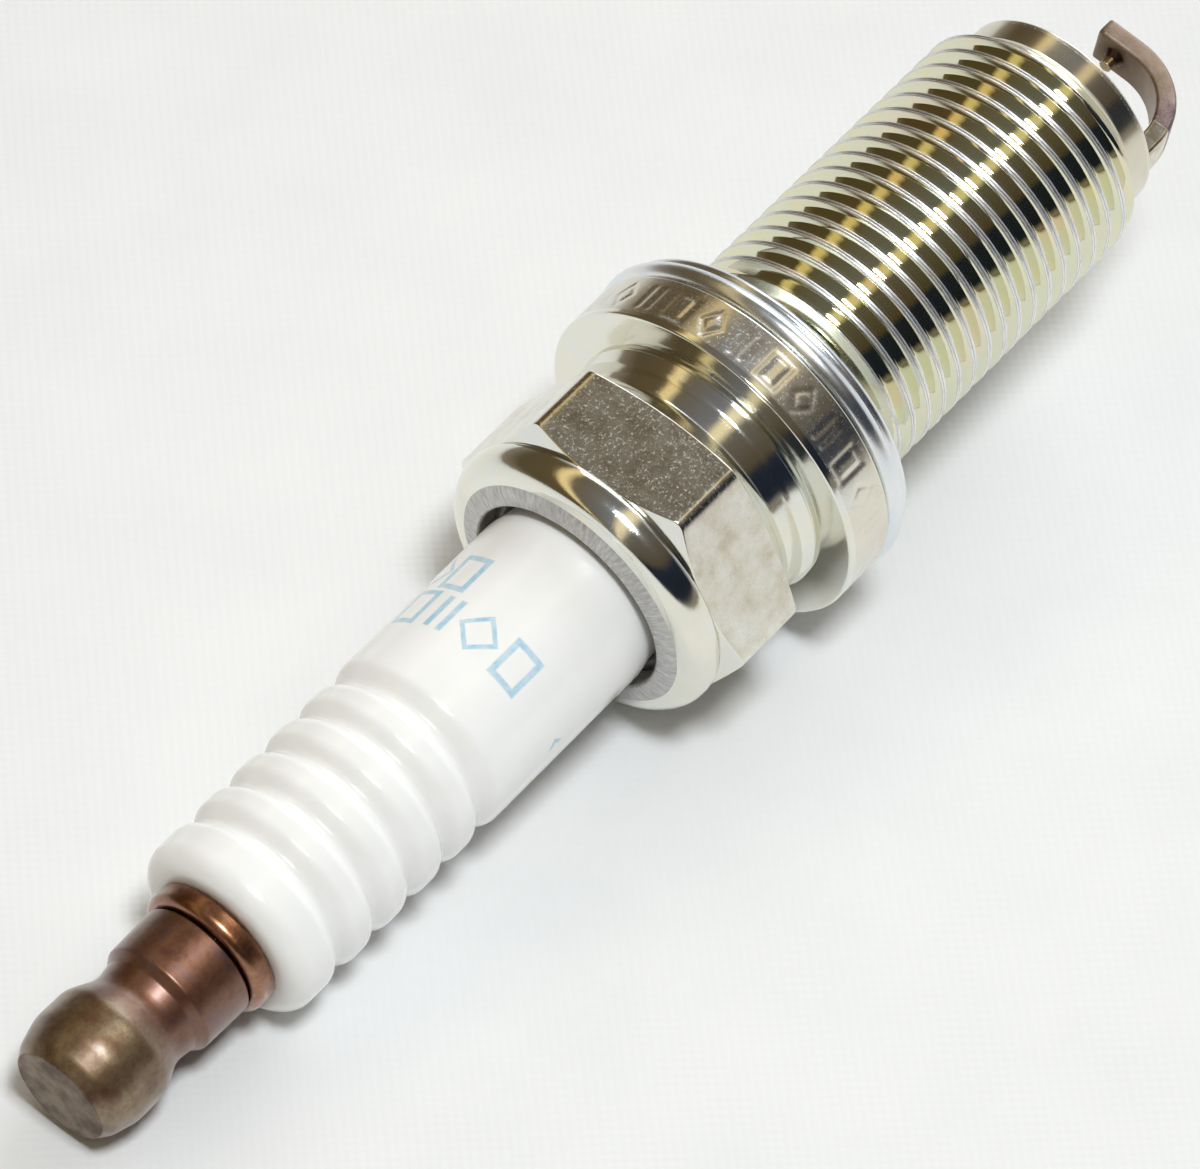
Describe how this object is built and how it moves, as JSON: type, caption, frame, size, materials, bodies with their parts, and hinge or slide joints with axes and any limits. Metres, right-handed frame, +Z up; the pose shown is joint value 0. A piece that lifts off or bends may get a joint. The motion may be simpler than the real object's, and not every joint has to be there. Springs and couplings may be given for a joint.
{
  "type": "spark plug",
  "caption": "Long-reach spark plug with ribbed white insulator, plated hex shell with flange and folded gasket, fine-wire tips and a screw-on terminal nut.",
  "frame": {"origin": "on the plug's axis, in the plane of the gasket face that seals on the cylinder head", "axes": "+X along the plug's axis towards the firing end, +Z up, with the plug lying on its side"},
  "size_m": [0.0834, 0.0196, 0.0196],
  "materials": {
    "zinc_plated_steel": "zinc-plated cold-formed steel with a pale yellow-green passivation, polished except on the worn wrench flats",
    "plated_gasket_steel": "polished folded plated steel sheet with fine turning marks",
    "glazed_alumina": "clear-glazed white alumina with a faint pale blue printed mark",
    "oxidised_terminal_steel": "brown heat-tinted nickel-plated steel, satin end face",
    "coppered_stud_steel": "copper-tinted plated steel",
    "packing_steel": "bare mild steel wire ring",
    "pressed_talc": "pressed talc powder, matt",
    "seat_washer_steel": "thin steel sealing washer",
    "conductive_glass": "fused copper-bearing glass",
    "resistor_ceramic": "fired carbon and glass resistor mix",
    "nickel_alloy": "nickel alloy, satin",
    "ground_strap_nickel": "nickel alloy strap with a purple-brown heat tint",
    "core_copper": "copper core",
    "iridium_alloy": "iridium alloy wire",
    "platinum_alloy": "platinum alloy pin",
    "laser_weld": "laser weld bead",
    "weld_flash": "resistance weld flash"
  },
  "bodies": {
    "plug": {"metal_shell": "zinc_plated_steel", "insulator": "glazed_alumina", "terminal_stud": "coppered_stud_steel", "outer_packing_ring": "packing_steel", "inner_packing_ring": "packing_steel", "talc_fill": "pressed_talc", "seat_washer": "seat_washer_steel", "upper_glass_seal": "conductive_glass", "lower_glass_seal": "conductive_glass", "resistor": "resistor_ceramic", "centre_electrode": "nickel_alloy", "ground_electrode": "ground_strap_nickel", "centre_copper_core": "core_copper", "centre_tip": "iridium_alloy", "ground_tip": "platinum_alloy", "centre_tip_weld": "laser_weld", "ground_tip_weld": "laser_weld", "ground_weld": "weld_flash"},
    "gasket": {"crush_gasket": "plated_gasket_steel"},
    "nut": {"terminal_nut": "oxidised_terminal_steel"}
  },
  "joints": [
    {"name": "gasket_turn", "type": "hinge", "parent": "plug", "child": "gasket", "pos_m": [0, 0, 0], "axis": [1, 0, 0], "continuous": true},
    {"name": "nut_unscrew", "type": "slide", "parent": "plug", "child": "nut", "axis": [-1, 0, 0], "range_m": [0, 0.007]}
  ]
}
